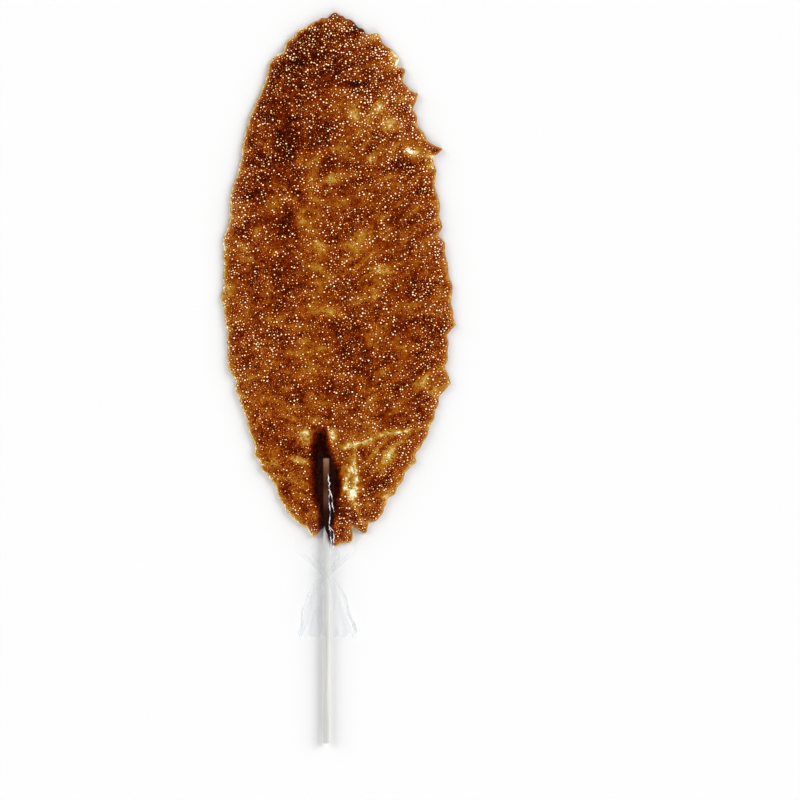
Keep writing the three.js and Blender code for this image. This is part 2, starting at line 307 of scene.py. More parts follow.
def buildStudio():
    half = studio["photoPixels"] / 2
    scale = studio["millimetresPerPixel"]
    x = (half - studio["bladeMiddlePixel"]) * scale * mm + bladeOrigin[0]
    y = (studio["widestLinePixel"] - half) * scale * mm + bladeOrigin[1]
    camera = bpy.data.cameras.new("camera")
    camera.sensor_width = studio["photoPixels"] * scale
    camera.lens = camera.sensor_width * studio["cameraHeight"] / (studio["photoPixels"] * scale * mm)
    camera.clip_end = studio["cameraReach"]
    cameraObject = bpy.data.objects.new("camera", camera)
    cameraObject.location = (x, y, studio["cameraHeight"])
    bpy.context.scene.collection.objects.link(cameraObject)
    bpy.context.scene.camera = cameraObject

    for index, (place, strength) in enumerate(studio["lamps"]):
        lamp = bpy.data.lights.new(f"lamp{index}", "SUN")
        lamp.angle = math.radians(studio["lampBreadth"])
        lamp.energy = strength
        lampObject = bpy.data.objects.new(f"lamp{index}", lamp)
        lampObject.location = Vector(place)
        lampObject.rotation_euler = (-Vector(place)).to_track_quat("-Z", "Y").to_euler()
        lampObject.visible_glossy = False  # the candy mirrors the room alone
        bpy.context.scene.collection.objects.link(lampObject)

    world = bpy.data.worlds.new("room")
    world.use_nodes = True
    tree = world.node_tree
    tree.nodes.clear()
    direction = addNode(tree, "ShaderNodeTexCoord").outputs["Generated"]
    up = addNode(tree, "ShaderNodeSeparateXYZ", {"Vector": direction}).outputs["Z"]
    brightness = addRange(tree, up, *studio["skyBand"], studio["skyLow"], studio["skyHigh"])
    background = addNode(tree, "ShaderNodeBackground", {"Strength": brightness})
    addNode(tree, "ShaderNodeOutputWorld", {"Surface": background.outputs[0]})
    bpy.context.scene.world = world
    bpy.context.scene.view_settings.view_transform = "Standard"

    material, tree = newMaterial("paleFloor")
    shader = addNode(tree, "ShaderNodeBsdfPrincipled", {
        "Base Color": studio["floorColour"],
        "Roughness": studio["floorRoughness"],
        "Specular IOR Level": studio["floorSpecular"],
    })
    addNode(tree, "ShaderNodeOutputMaterial", {"Surface": shader.outputs[0]})
    size = studio["floorSize"] / 2
    mesh = bpy.data.meshes.new("floor")
    corners = [(-size, -size, 0), (size, -size, 0), (size, size, 0), (-size, size, 0)]
    mesh.from_pydata(corners, [], [(0, 1, 2, 3)])
    mesh.materials.append(material)
    floor = bpy.data.objects.new("floor", mesh)
    floor.location.z = -studio["floorDrop"] * mm
    bpy.context.scene.collection.objects.link(floor)
    print("studio ready")


# The candy's form, as the solid has it, with a finer rim

bladeForm = {
    "halfWidth": 65.0,
    "tipReach": 159.5,
    "baseReach": 134.0,
    "leafAcross": 1.85,
    "leafAlong": 1.9,
    "sheetThickness": 4.4,
    "thinnestSheet": 1.9,
    "rimThickness": 1.5,
    "rimSlope": (-1.0, 10.0),  # distances from the rim between which the sheet grows thick
    "streaks": [(26.0, 12.0, 1.0), (13.0, 7.0, 0.6)],  # length, breadth and height of the pour's ripples
    "streakRise": 0.42,
    "streakBend": 9.0,
    "bellSpread": 1.6,
    "spineShare": 0.74,
    "toothShares": (0.7, 0.98),
    "toothPoint": 1.2,
    "leafSamples": 3000,
    "outlineSteps": 600,  # of the rim when it tells what lies inside it
    # place on the leaf, reach outwards, breadth
    "bulges": [
        ((-21, 151), 1.5, 28), ((-36, 140), 2.2, 36), ((-50, 92), 1.4, 44), ((-56, 72), -2.4, 110),
        ((-58.5, 60), 1.3, 44), ((-65, 0), -2.3, 90), ((-62, -18), -0.9, 24), ((-61, -36), 1.3, 22),
        ((-54, -66), -4.6, 130), ((36, 138), 2.8, 40), ((60, 44), -2.4, 70), ((65, -8), 1.2, 60),
        ((42, -100), -1.8, 60),
    ],
    # place on the leaf, reach outwards, breadth at the root, lean along the rim
    "teeth": [
        ((1, 160), 1.8, 11, 0), ((12, 154.5), -1.4, 14, 0), ((18, 151), -2.2, 8, 0),
        ((24, 148), 2.6, 9, 1), ((35, 136), 1.4, 7, -0.5), ((35, 132), -1.8, 6, 0),
        ((38, 128.5), 1.6, 6, 0), ((40, 123), -1.8, 8, 0), ((45.5, 115), 4.8, 11, 0.2),
        ((47, 108), -2.2, 9, 0), ((46.5, 99), -2.8, 19, 0), ((54, 85), 6.4, 11, -2),
        ((55, 80), -0.9, 7, 0), ((57, 72.5), 0.9, 9, 0), ((56, 64.5), -1.7, 12, 0),
        ((61, 43), 0.6, 16, 0), ((62, 36.5), -3.2, 9, 0), ((64, 12), -1.2, 12, 0),
        ((65, -13), 2.2, 7, -0.6), ((64.5, -20), -2, 10, 0), ((62, -46.5), 5.4, 19, 0),
        ((56, -66), 0.9, 12, 0), ((45, -91), 1.2, 8, 0), ((39.5, -97), -0.9, 8, 0),
        ((31, -111), -1.6, 24, 0), ((25, -124), 1, 12, 0), ((17, -130.5), 2.8, 8, 0),
        ((12.5, -131.5), -3.4, 6, 0), ((8, -133), 3.4, 6, 0), ((4.5, -133.5), 3, 14, 0),
        ((0, -134), 3.6, 9, 0), ((-7.5, -133.5), -5.2, 8, 0), ((-12, -132), 2.8, 7, 0),
        ((-35, -106), -2.4, 30, 0), ((-45, -88.5), 1.9, 12, -0.8), ((-51, -69.5), 1.2, 9, 0),
        ((-56, -52.5), 1.2, 9, 0), ((-65, 0), 1.5, 9, 0), ((-64.5, 24.5), 0.8, 6, 0),
        ((-61, 47), -1.2, 20, 0), ((-53.5, 77.5), -1.2, 14, 0), ((-45.5, 109.5), 1.1, 8, 0),
        ((-36.5, 132.5), 2.2, 9, 0), ((-30.5, 140), -2.4, 9, 0),
    ],
    "waves": [(37, 0.3, 1.3), (61, 0.25, 0.4), (89, 0.2, 2.2)],  # count round the rim, height, start
    "nicks": [(90, 0.55), (210, 0.3)],  # count round the rim and height of its uneven nicks
    # place, radius and height of the face's broad swells
    "swells": [
        ((-20, 129), 21, 0.8), ((-25, 94), 9, 1.2), ((-29, 49), 10, 1.2), ((-41, 14), 12, 0.7),
        ((-20, 18), 10, 0.7), ((50, 48), 8, 0.9), ((46, -7), 10, 0.9), ((34, -28), 11, 0.6),
        ((25, 106), 12, -1.2), ((43, 83), 7, -1.2), ((-15, 40), 8, -1.0), ((22, 34), 9, -1.0),
        ((5, 0), 9, -0.8), ((-19, -76), 6, -1.4), ((10, -98), 7, -1.7), ((27, -84), 6, -1.2),
    ],
    "moundCrest": 7.6,
    "moundExitCrest": 6.4,
    "moundHalfWidth": 7.2,
    "moundAbove": 34.0,
    "moundTaper": 0.8,
    "moundLip": 2.5,
    "moundFillet": 1.2,
    "dimples": (4.5, 0.22),  # breadth and height of the small unevenness
    "rimSteps": 1000,
    "ringStep": 0.9,
    "lipRadius": 0.7,
    "lipTurns": (-90, -55, -20, 20, 55, 90),  # round the edge, from the back to the face
    "backShares": (0.96, 0.6, 0.25),  # how far in the back's rings are, of the half width
    "backMargin": 4.0,  # and the last of them
    "faceStart": 0.4,  # from the edge's rounding to the face's first ring
    "faceEnd": 0.985,  # how far in its last ring is, of the half width
    "castFrom": 20.0,  # a height above everything, to feel for the face from
}


def leafPoints(share):
    angle = 2 * np.pi * share
    reach = np.where(np.cos(angle) > 0, bladeForm["tipReach"], bladeForm["baseReach"])
    x = -bladeForm["halfWidth"] * signedPower(np.sin(angle), 2 / bladeForm["leafAcross"])
    y = reach * signedPower(np.cos(angle), 2 / bladeForm["leafAlong"])
    return np.stack([x, y], 1)


# Shares of the way round the leaf at even distances along it
def evenShares(count):
    share = np.linspace(0, 1, bladeForm["leafSamples"] + 1)
    steps = np.linalg.norm(np.diff(leafPoints(share), axis=0), axis=1)
    length = np.concatenate([[0], np.cumsum(steps)])
    return np.interp(np.arange(count) / count * length[-1], length, share)


def rimPoints(share):
    plain = leafPoints(share)
    step = 1 / bladeForm["leafSamples"]
    along = leafPoints(share + step) - leafPoints(share - step)
    along /= np.linalg.norm(along, axis=1)[:, None]
    outward = np.stack([along[:, 1], -along[:, 0]], 1)
    samples = leafPoints(np.linspace(0, 1, bladeForm["leafSamples"]))

    def distanceTo(place):
        root = samples[np.argmin(np.hypot(*(samples - place).T))]
        return np.hypot(*(plain - root).T)

    reach, lean = np.zeros(len(share)), np.zeros(len(share))
    for count, height, start in bladeForm["waves"]:
        reach += height * np.sin(2 * np.pi * count * share + start)
    for count, height in bladeForm["nicks"]:
        reach += height * swirls(count * share, np.full(len(share), count + 0.5))
    for place, out, breadth in bladeForm["bulges"]:
        reach += out * bell(distanceTo(place) / (breadth / 2))
    for place, out, breadth, slant in bladeForm["teeth"]:
        nearness = np.clip(1 - distanceTo(place) / (breadth / 2), 0, 1)
        reach += out * nearness ** bladeForm["toothPoint"]
        lean += slant * nearness
    return plain + outward * reach[:, None] + along * lean[:, None]


def rimOutline():
    return rimPoints(evenShares(bladeForm["outlineSteps"]))


def streakClimb(x):
    return bladeForm["streakRise"] * np.hypot(x, bladeForm["streakBend"])


def sheetHeight(x, y):
    height = np.full(x.shape, bladeForm["sheetThickness"])
    for length, breadth, rise in bladeForm["streaks"]:
        height += rise * hills(x / length, (y - streakClimb(x)) / breadth)
    for (cx, cy), radius, rise in bladeForm["swells"]:
        height += rise * bell(np.hypot(x - cx, y - cy) / (bladeForm["bellSpread"] * radius))
    breadth, rise = bladeForm["dimples"]
    height += rise * swirls(x / breadth, y / breadth)
    return np.maximum(height, bladeForm["thinnestSheet"])


def moundHeight(x, y):
    above = smoothStep(y, stickTop - bladeForm["moundHalfWidth"], stickTop + bladeForm["moundAbove"])
    width = bladeForm["moundHalfWidth"] * (1 - bladeForm["moundTaper"] * above)
    rise = smoothStep(y, -bladeForm["baseReach"], stickTop)
    crest = bladeForm["moundExitCrest"] * (1 - rise) + bladeForm["moundCrest"] * rise
    return crest * (1 - above) * bell((x - stickX) / (bladeForm["bellSpread"] * width))


def faceHeight(x, y, fromRim):
    grown = np.sqrt(smoothStep(fromRim, *bladeForm["rimSlope"]))
    sheet = bladeForm["rimThickness"] * (1 - grown) + sheetHeight(x, y) * grown
    held = moundHeight(x, y) * smoothStep(fromRim, -bladeForm["moundLip"], bladeForm["moundLip"])
    return (sheet + held + np.hypot(sheet - held, bladeForm["moundFillet"])) / 2


# How deep the amber looks, from 0, pale and thin, to 1, nearly black

amberDepth = {
    "mean": 0.568,
    # length, breadth and amount of the mottling that runs like leaf veins
    "streaks": [
        (26.0, 15.0, 0.13), (15.0, 8.0, 0.15), (8.0, 5.0, 0.19), (4.2, 3.0, 0.14), (2.4, 1.9, 0.07),
    ],
    "streakSlope": 0.42,  # how steeply the mottling climbs
    "streakFrom": 6.0,  # to the right of this line
    "streakSoft": 9.0,
    "warp": (22.0, 5.0),  # breadth and amount of its wandering
    "paleKnee": (0.24, 0.6),  # paler than this, the amber pales more slowly
    "deepKnee": (0.72, 0.6),  # deeper than this, it darkens more slowly
    "deepest": 0.88,
    "rims": [(0.22, 5.5), (0.27, 1.8)],  # paleness and breadth of the thin rim and of its very edge
    "rimSides": (1.2, 0.65),  # share of that paleness at the left and at the right
    "rimTurn": (-20, 30),  # where the one goes over into the other
    "rimDeepest": 0.52,  # the edge never looks deeper
    "rimDark": ((9, 153), 26.0, 0.4),  # but for this place, its reach and how much deeper it is
    "rimFade": 9.0,
    "sideDepth": 0.22,  # how much deeper the edge looks from the side than from above
    "palest": 0.01,
    "unevenness": (2.6, 0.78, 0.4),  # breadth, mean and swing of how much of a place shows
    "broadStrength": 1.15,
    "patchStrength": 1.28,
    "patchSpread": 1.3,
    # centre, half length across, half length along, slant in degrees, amount
    "broad": [
        ((-30, 108), 28, 58, -8, 0.16), ((-3, 138), 22, 18, 0, 0.12), ((32, 100), 18, 34, -20, -0.03),
        ((-41, 62), 9, 9, 0, 0.20), ((-13, 36), 9, 16, 0, -0.13), ((19, 22), 14, 28, 0, -0.14),
        ((-26, 2), 9, 24, 0, 0.10), ((-41, -62), 14, 34, 15, -0.10), ((40, 8), 18, 14, 0, 0.08),
        ((42, -33), 14, 9, 0, 0.12), ((7, -52), 12, 14, 0, 0.06), ((22, -94), 26, 26, 0, -0.09),
        ((-56, 38), 8, 10, 0, -0.10), ((57, -14), 8, 8, 0, -0.06), ((26, -41), 7, 6, 0, -0.12),
        ((-14, 149), 14, 13, 0, 0.12), ((4, 131), 8, 7, 0, 0.10), ((43, 85), 10, 8, 0, -0.05),
        ((56, 41), 8, 8, 0, -0.13), ((-26, 80), 7, 8, 0, 0.14), ((-27, 41), 8, 8, 0, 0.10),
        ((56, -60), 5, 42, -18, -0.09), ((38, 118), 6, 34, 21, -0.05),
    ],
    # Some of these pale patches are painted highlights: those at the notches near (33, 135) and those below
    # and left of the tooth at (54, 85). The rest are the amber's own tone.
    "patches": [
        ((-17, 129), 24, 26, 0, 0.08), ((-27, 90), 8, 14, -15, 0.20), ((-6, 92), 5, 5, 0, 0.14),
        ((-1, 75), 6, 6, 0, 0.12), ((-49, 58), 9, 4, 0, 0.18), ((-28, 43), 8, 11, 10, 0.22),
        ((36, 43), 10, 5, 25, 0.16), ((49, 62), 9, 6, 20, 0.14), ((-32, 18), 14, 9, 0, 0.14),
        ((35, 28), 8, 6, 25, 0.14), ((1, -15), 4, 5, 0, 0.34), ((-28, -20), 9, 4, 0, 0.16),
        ((41, -12), 10, 4, 10, 0.15), ((55, -18), 6, 7, 0, 0.15), ((16, -35), 7, 4, 20, 0.15),
        ((44, -57), 9, 5, 10, 0.16), ((-25, -83), 5, 5, 0, 0.18), ((16, -86), 4, 4, 0, 0.34),
        ((26, -103), 7, 5, 20, 0.2), ((-20, -118), 12, 14, 0, -0.17), ((5, -129), 8, 8, 0, -0.2),
        ((1, 117), 5, 4, 0, -0.2), ((10.7, 102.5), 4.4, 6, 0, -0.40), ((19, 102), 4, 4, 0, -0.22),
        ((24, 107.6), 5.6, 4.8, 30, -0.38), ((30.4, 99.5), 4.2, 6, -30, -0.44),
        ((43, 83), 6, 3.5, -10, -0.52), ((56.5, 85), 5, 2.2, -10, 0.4), ((20.5, 79), 5, 4, 20, -0.38),
        ((0.5, 67), 8, 4, 0, -0.2), ((-13.5, 62), 5, 5, 30, -0.3), ((-19, 44), 4, 4, 0, -0.26),
        ((-9, 31), 5, 7, 0, -0.24), ((14, 32), 10, 5, 20, -0.1), ((26, 17), 6, 4, 0, -0.26),
        ((2, -7), 6, 5, 20, -0.2), ((-20, -31), 8, 5, -10, -0.2), ((50, -46), 5, 5, 0, -0.22),
        ((55, -53), 4, 4, 0, -0.24), ((-16.9, -77.0), 4.6, 6.4, 0, -0.46),
        ((-1.2, -77.2), 3.0, 4.6, 10, -0.66), ((-19.6, -90.2), 5.5, 2.4, -15, -0.62),
        ((31, -86.5), 5.4, 6.2, 0, -0.32), ((8.4, -96.2), 4.2, 4.6, 0, -0.12),
        ((6.4, -105.2), 2.6, 3.2, 0, -0.46), ((9.8, -109.6), 3.3, 6.2, 0, -0.5),
        ((18, -111), 1.8, 6.0, 25, -0.24), ((2, -84), 4.0, 3.0, 30, -0.16),
        ((-9.7, -67.3), 4.5, 2.6, 0, -0.26), ((33, 137.5), 4, 4, 0, -0.34),
        ((36, 132.4), 3, 2.6, 0, -0.6), ((14, -107), 3.2, 6.5, -10, -0.28), ((48, -25), 5, 5, 0, 0.2),
        ((-20, 135), 6, 6, 0, 0.24), ((-12.5, 124), 5, 5, 0, -0.12), ((5, 126), 8, 16, 0, 0.09),
        ((14, 119), 11, 4, -10, 0.16), ((43, 100), 4.5, 8, 20, 0.2), ((26, 92), 7, 4, 10, 0.16),
        ((38, 76), 7, 4, 0, 0.16), ((43.5, 83.4), 5.5, 1.8, -25, -0.3), ((54, 80.6), 2.6, 1.4, 0, -0.5),
        ((10, 153), 10, 5, -30, 0.1), ((-42, 34), 5, 5, 0, -0.14), ((50, 80.5), 3, 2, 0, -0.14),
    ],
    "wrinkleGlintWander": (2.2, 0.5),  # breadth and reach of the bends of the pale creases, painted highlights where the film is wrinkled over the candy
    "wrinkleGlintSpread": 1.25,
    # points, half width and amount of them
    "creases": [
        ([(5.5, -83), (9, -82.6), (12.2, -80.8), (19, -79.6), (24.7, -76), (32, -74.6), (42, -73)],
         2.1, -0.46),
        ([(11.6, -80.3), (11.1, -87.6), (10.1, -94), (12.4, -100), (10.7, -104), (10.6, -111)], 2.0, -0.34),
        ([(4.5, -94.5), (8.4, -93.6), (12, -95)], 1.8, -0.34),
        ([(7.5, -96), (6.5, -101), (6.4, -106)], 1.8, -0.30),
        ([(11.6, -114.7), (13.2, -119.3), (14.3, -123), (16.3, -126.2)], 1.6, -0.36),
        ([(12, -2), (17, 1), (26, 2.5)], 2.0, -0.2),
    ],
    # the dark mound round the stick: place along the blade, middle, half width
    "mound": [(-68, -7.5, 1.0), (-75, -7.9, 3.4), (-80, -7.9, 3.9), (-85.5, -8.0, 5.6), (-91, -6.3, 6.5),
              (-96, -4.6, 7.6), (-106, -4.4, 7.8), (-112, -4.5, 6.8), (-117, -4.0, 5.2), (-127, -5.0, 4.1),
              (-138, -4.0, 3.0)],
    "moundTop": (68.0, 78.0),
    "moundDepth": 0.99,
    "moundSoftness": 2.3,
    "moundWander": (4.0, 0.8),  # breadth and reach of its sides' bends
}


def segmentDistance(x, y, points):
    best = np.full(x.shape, 1e9)
    for (ax, ay), (bx, by) in zip(points, points[1:]):
        dx, dy = bx - ax, by - ay
        t = np.clip(((x - ax) * dx + (y - ay) * dy) / (dx * dx + dy * dy), 0, 1)
        best = np.minimum(best, np.hypot(x - ax - t * dx, y - ay - t * dy))
    return best


def moundMask(x, y):
    along, middles, widths = np.array(amberDepth["mound"])[::-1].T
    middle, width = np.interp(y, along, middles), np.interp(y, along, widths)
    edge = amberDepth["moundSoftness"]
    breadth, reach = amberDepth["moundWander"]
    aside = np.abs(x - middle + reach * swirls(x / breadth, y / breadth))
    return (1 - smoothStep(aside, width - edge, width + edge)) * smoothStep(-y, *amberDepth["moundTop"])


def mottling(x, y):
    look = amberDepth
    aside = x - look["streakFrom"]
    climb = look["streakSlope"] * (np.hypot(aside, look["streakSoft"]) + aside) / 2
    breadth, amount = look["warp"]
    u = x + amount * swirls(x / breadth + 7, y / breadth)
    v = y - climb + amount * swirls(x / breadth, y / breadth + 9)
    mottle = np.zeros(x.shape)
    for index, (length, across, strength) in enumerate(look["streaks"]):
        mottle += strength * swirls(u / length + 31 * index, v / across + 13 * index)
    return mottle


def depthAt(x, y, fromRim):
    look = amberDepth
    depth = look["mean"] + mottling(x, y)
    breadth, usual, swing = look["unevenness"]
    broken = usual + swing * swirls(x / breadth + 3, y / breadth)
    strengths = {"broad": look["broadStrength"], "patches": look["patchStrength"] * broken}
    for kind, strength in strengths.items():
        for (cx, cy), halfAcross, halfAlong, slant, amount in look[kind]:
            c, s = math.cos(math.radians(slant)), math.sin(math.radians(slant))
            u, v = (x - cx) * c + (y - cy) * s, (y - cy) * c - (x - cx) * s
            depth += amount * strength * bell(np.hypot(u / halfAcross, v / halfAlong) / look["patchSpread"])
    # the pale creases: painted highlights where the film is wrinkled over the candy
    pale = np.zeros_like(depth)
    breadth, reach = look["wrinkleGlintWander"]
    for points, halfWidth, amount in look["creases"]:
        aside = np.maximum(segmentDistance(x, y, points) + reach * swirls(x / breadth, y / breadth), 0)
        pale = np.minimum(pale, amount * broken * bell(aside / (look["wrinkleGlintSpread"] * halfWidth)))
    depth += pale
    (cx, cy), reach, deeper = look["rimDark"]
    darkRim = bell(np.hypot(x - cx, y - cy) / reach)
    limit = look["rimDeepest"] + deeper * darkRim + smoothStep(fromRim, 0, look["rimFade"])
    depth = np.minimum(depth, limit)
    left, right = look["rimSides"]
    share = (left + (right - left) * smoothStep(x, *look["rimTurn"])) * (1 - darkRim)
    for paleness, breadth in look["rims"]:
        depth -= paleness * share * bell(fromRim / breadth)
    knee, slope = look["paleKnee"]
    depth = np.maximum(depth, knee) + slope * (np.minimum(depth, knee) - knee)
    knee, slope = look["deepKnee"]
    depth = np.minimum(depth, knee) + slope * (np.maximum(depth, knee) - knee)
    depth = np.minimum(depth, look["deepest"])
    dark = moundMask(x, y)
    return np.clip(depth * (1 - dark) + look["moundDepth"] * dark, look["palest"], 1)


candyLook = {
    # amber from thin to thick
    "amber": [
        (0.00, srgb(248, 241, 222)), (0.07, srgb(220, 188, 124)), (0.17, srgb(174, 137, 58)),
        (0.30, srgb(152, 99, 20)), (0.43, srgb(139, 71, 8)), (0.55, srgb(121, 47, 4)),
        (0.67, srgb(99, 29, 2)), (0.80, srgb(70, 14, 1)), (0.91, srgb(42, 8, 2)), (1.00, srgb(20, 4, 2)),
    ],
    "grain": (560.0, 3.0, 0.65),  # scale, detail and roughness of the fine mottling
    "grainAmount": 0.56,
    "threads": (420.0, 1.0),  # scale and detail of the pale threads between the bubbles
    "threadWidth": 0.035,
    "threadAmount": 0.10,
    "dots": (720.0, 0.52),  # scale and strength of the deeper, dimmer bubbles, their glints painted as pale dots
    "dotSize": (0.34, 0.10),  # where a dot begins and where it is full, in cells
    "dotDepths": (0.94, 0.80),  # where the dots begin to show in the dark amber, and where they all do
    "dotColour": srgb(200, 114, 42),
    "dotShadows": (0.6, 0.9),  # share of the dots that are painted shadows of deeper bubbles instead, and how deep they look
    # the stick's upper end as it shows through the amber
    "stickTint": [
        (0.00, srgb(28, 11, 5)), (0.22, srgb(36, 17, 9)), (0.38, srgb(80, 50, 34)),
        (0.48, srgb(82, 52, 36)), (0.58, srgb(58, 32, 18)), (0.70, srgb(72, 41, 24)),
        (0.86, srgb(98, 69, 50)), (1.00, srgb(138, 104, 80)),
    ],
    "stickShowsTo": -127.0,
    "stickEdge": 0.4,
    "stickShown": 1.55,  # half width
    "roughness": 0.24,
    "specular": 0.04,
    "coat": 0.4,
    "coatEnds": (0.86, 0.95),  # the deep amber round the stick hardly shines
    "coatRoughness": 0.06,
    "bump": (0.15, 0.0002),  # strength and depth of the fine unevenness
}


# A mask of the stick's upper end, with soft edges, and how far up the stick a point lies
def stickShow(tree, place):
    axes = addNode(tree, "ShaderNodeSeparateXYZ", {"Vector": place})
    middle = bladeOrigin[0] + stickX * mm
    aside = addMath(tree, "ABSOLUTE", addMath(tree, "SUBTRACT", axes.outputs["X"], middle))
    soft, shown = candyLook["stickEdge"] * mm, candyLook["stickShown"] * mm
    across = addRange(tree, aside, shown + soft, shown - soft)
    top, bottom = (bladeOrigin[1] + end * mm for end in (stickTop, candyLook["stickShowsTo"]))
    below = addRange(tree, axes.outputs["Y"], top + soft, top - soft)
    return addMath(tree, "MULTIPLY", across, below), addRange(tree, axes.outputs["Y"], bottom, top)


# Amber colour for a given depth, with mottling, pale threads, and the deeper bubbles' painted glints and
# painted shadows
def amberTone():
    tree, into, out = newGroup("amberTone", [("Depth", 0.5)], ["Color"])
    depth = into.outputs["Depth"]
    place = objectPlace(tree)
    grain = addNoise(tree, place, *candyLook["grain"])
    unevenness = addMath(tree, "SUBTRACT", grain, noiseMiddle)
    mottle = addMath(tree, "MULTIPLY", unevenness, candyLook["grainAmount"])
    threads = addNoise(tree, place, *candyLook["threads"])
    fromThread = addMath(tree, "ABSOLUTE", addMath(tree, "SUBTRACT", threads, noiseMiddle))
    thread = addRange(tree, fromThread, 0.0, candyLook["threadWidth"], -candyLook["threadAmount"], 0.0)
    mottled = addMath(tree, "ADD", depth, addMath(tree, "ADD", mottle, thread), clamp=True)

    # pale dots: painted glints of deeper bubbles
    scale, strength = candyLook["dots"]
    cells = addNode(tree, "ShaderNodeTexVoronoi", {"Vector": place, "Scale": scale})
    dot = addRange(tree, cells.outputs["Distance"], *candyLook["dotSize"], 0.0, strength)
    lots = addNode(tree, "ShaderNodeSeparateColor", {"Color": cells.outputs["Color"]})
    # dark dots: painted shadows of deeper bubbles
    share, shadowDepth = candyLook["dotShadows"]
    isShadowDot = addMath(tree, "LESS_THAN", lots.outputs["Green"], share)
    dotShadow = addMath(tree, "MULTIPLY", addMath(tree, "MULTIPLY", dot, isShadowDot), shadowDepth)
    amber = addRamp(tree, addMath(tree, "ADD", mottled, dotShadow, clamp=True), candyLook["amber"])
    lot = addMath(tree, "MULTIPLY", lots.outputs["Red"], addMath(tree, "SUBTRACT", 1.0, isShadowDot))
    clear = addRange(tree, depth, *candyLook["dotDepths"])
    dotted = addMath(tree, "MULTIPLY", addMath(tree, "MULTIPLY", dot, lot), clear)
    tree.links.new(addMix(tree, dotted, amber, candyLook["dotColour"]), out.inputs["Color"])
    return tree


def candyMaterial(toneGroup, grainGroup):
    material, tree = newMaterial("amberCandy")
    depth = pointValue(tree, "depth")
    tone = addNode(tree, "ShaderNodeGroup", {"Depth": depth}, node_tree=toneGroup)
    shown, height = stickShow(tree, objectPlace(tree))
    colour = addMix(tree, shown, tone.outputs["Color"], addRamp(tree, height, candyLook["stickTint"]))
    coat = addRange(tree, depth, *candyLook["coatEnds"], candyLook["coat"], 0.0)
    shader = addSurface(tree, grainGroup, candyLook, colour, coat)
    addNode(tree, "ShaderNodeOutputMaterial", {"Surface": shader})
    return material


def buildCandy(material):
    steps = bladeForm["rimSteps"]
    share = evenShares(steps)
    plain, edge = leafPoints(share), rimPoints(share)
    spine = np.stack([np.zeros(steps), bladeForm["spineShare"] * plain[:, 1]], 1)
    half = bladeForm["halfWidth"]

    def ringAt(inset):
        ringShare = 1 - inset / half
        toothed = smoothStep(np.float64(ringShare), *bladeForm["toothShares"])
        outer = plain + (edge - plain) * toothed
        flat = spine + (outer - spine) * ringShare
        return flat, np.hypot(*(flat - edge).T)

    points, depths = [], []

    def addRing(inset, height=None, deeper=0.0):
        flat, fromRim = ringAt(inset)
        z = faceHeight(flat[:, 0], flat[:, 1], fromRim) if height is None else np.full(steps, height)
        points.append(np.column_stack([flat, z]))
        depths.append(np.minimum(depthAt(flat[:, 0], flat[:, 1], fromRim) + deeper, 1))

    for inset in [*(half * inward for inward in bladeForm["backShares"]), bladeForm["backMargin"]]:
        addRing(inset, 0.0)
    lip, thick = bladeForm["lipRadius"], bladeForm["rimThickness"]
    for turn in np.radians(bladeForm["lipTurns"]):
        inset, height = lip * (1 - math.cos(turn)), thick / 2 * (1 + math.sin(turn))
        addRing(inset, height, amberDepth["sideDepth"] * (1 - max(math.sin(turn), 0)))
    first, last = lip + bladeForm["faceStart"], half * bladeForm["faceEnd"]
    for inset in np.arange(first, last, bladeForm["ringStep"]):
        addRing(inset)
    count = len(points)
    faces = ringFaces(count, steps)
    faces += zippedLid(0, steps, False) + zippedLid((count - 1) * steps, steps, True)
    points = np.concatenate(points)
    piece = newPiece("candyBlade", points, faces, material)
    addAttribute(piece, "depth", np.concatenate(depths))
    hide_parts("candy")
    print("candy blade:", len(faces), "faces")
    return BVHTree.FromPolygons(points.tolist(), faces)


# Height of the candy's face under each place, or the rim's beside it
def faceUnder(surface, x, y):
    heights = []
    for px, py in zip(np.ravel(x), np.ravel(y)):
        hit = surface.ray_cast(Vector((px, py, bladeForm["castFrom"])), Vector((0, 0, -1)))[0]
        heights.append(bladeForm["rimThickness"] if hit is None else hit.z)
    return np.reshape(heights, np.shape(x))


# Bubbles: dots seated on the candy's face, with painted glints for their bright middles and a painted dark
# ring of shade round each

